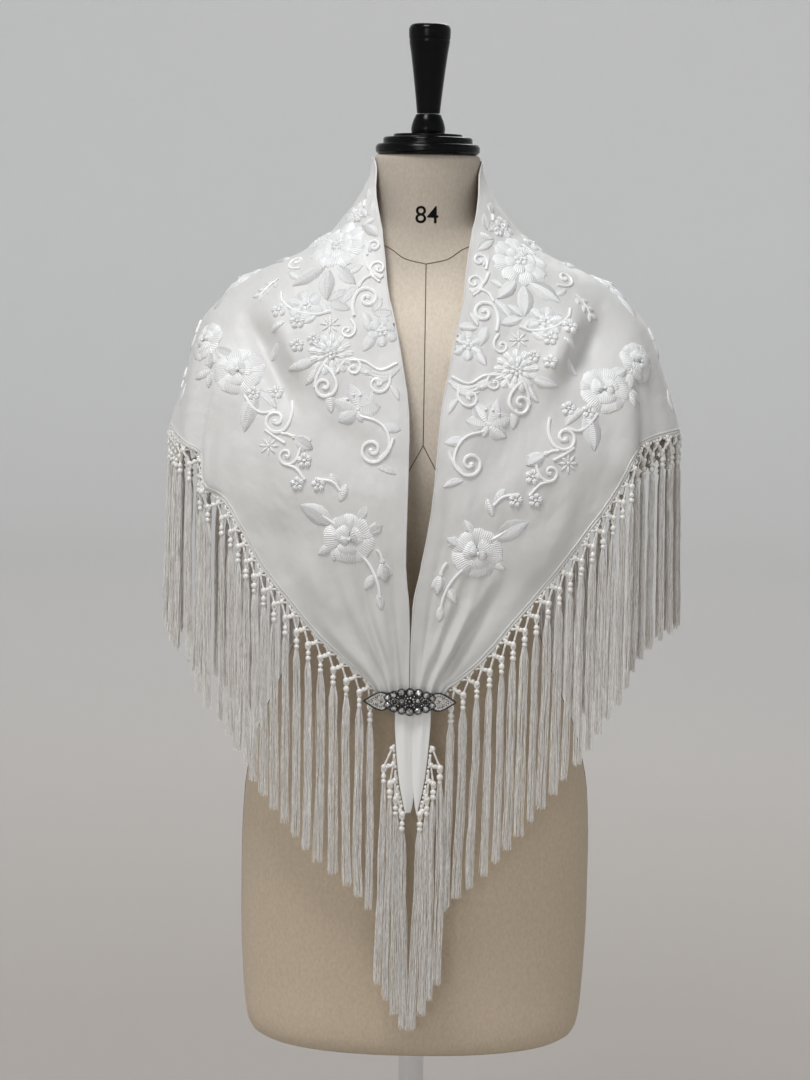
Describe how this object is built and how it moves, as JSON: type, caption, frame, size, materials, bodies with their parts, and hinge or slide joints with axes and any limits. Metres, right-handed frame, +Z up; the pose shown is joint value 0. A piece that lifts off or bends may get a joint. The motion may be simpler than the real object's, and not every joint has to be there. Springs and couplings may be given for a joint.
{
  "type": "manila shawl on a dress form",
  "caption": "Embroidered triangular shawl with a knotted fringe, pinned by a brooch in front, worn on a limbless dress form that stands on a round base.",
  "frame": {"origin": "middle of the base plate's underside, on the floor", "axes": "+Z up; the form and the brooch face -Y; +X is to the right of somebody who looks at the front"},
  "size_m": [0.4997, 0.38, 1.3928],
  "materials": {
    "ivory_crepe": "ivory silk crepe with a soft sheen and white raised embroidery",
    "ivory_silk": "glossy twisted ivory silk thread, knotted into a net and tassels",
    "canvas": "natural beige fine canvas cover",
    "black_lacquer": "turned wood in glossy black lacquer",
    "chrome": "polished chrome tube",
    "painted_iron": "satin black powder coat",
    "aged_silver": "dark antique silver plate",
    "crystal": "clear cut glass stones"
  },
  "bodies": {
    "root": {"shawl_cloth": "ivory_crepe", "tail_left": "ivory_crepe", "tail_right": "ivory_crepe", "fringe_front_left": "ivory_silk", "fringe_front_right": "ivory_silk", "fringe_back_left": "ivory_silk", "fringe_back_right": "ivory_silk", "fringe_tail_left": "ivory_silk", "fringe_tail_right": "ivory_silk", "brooch_plate": "aged_silver", "brooch_cluster": "aged_silver", "brooch_stone_left": "crystal", "brooch_stone_centre": "crystal", "brooch_stone_right": "crystal", "form_trunk": "canvas", "neck_cap": "black_lacquer", "finial": "black_lacquer", "pole_socket": "painted_iron", "pole": "chrome", "base_hub": "painted_iron", "base_plate": "painted_iron"}
  },
  "joints": []
}
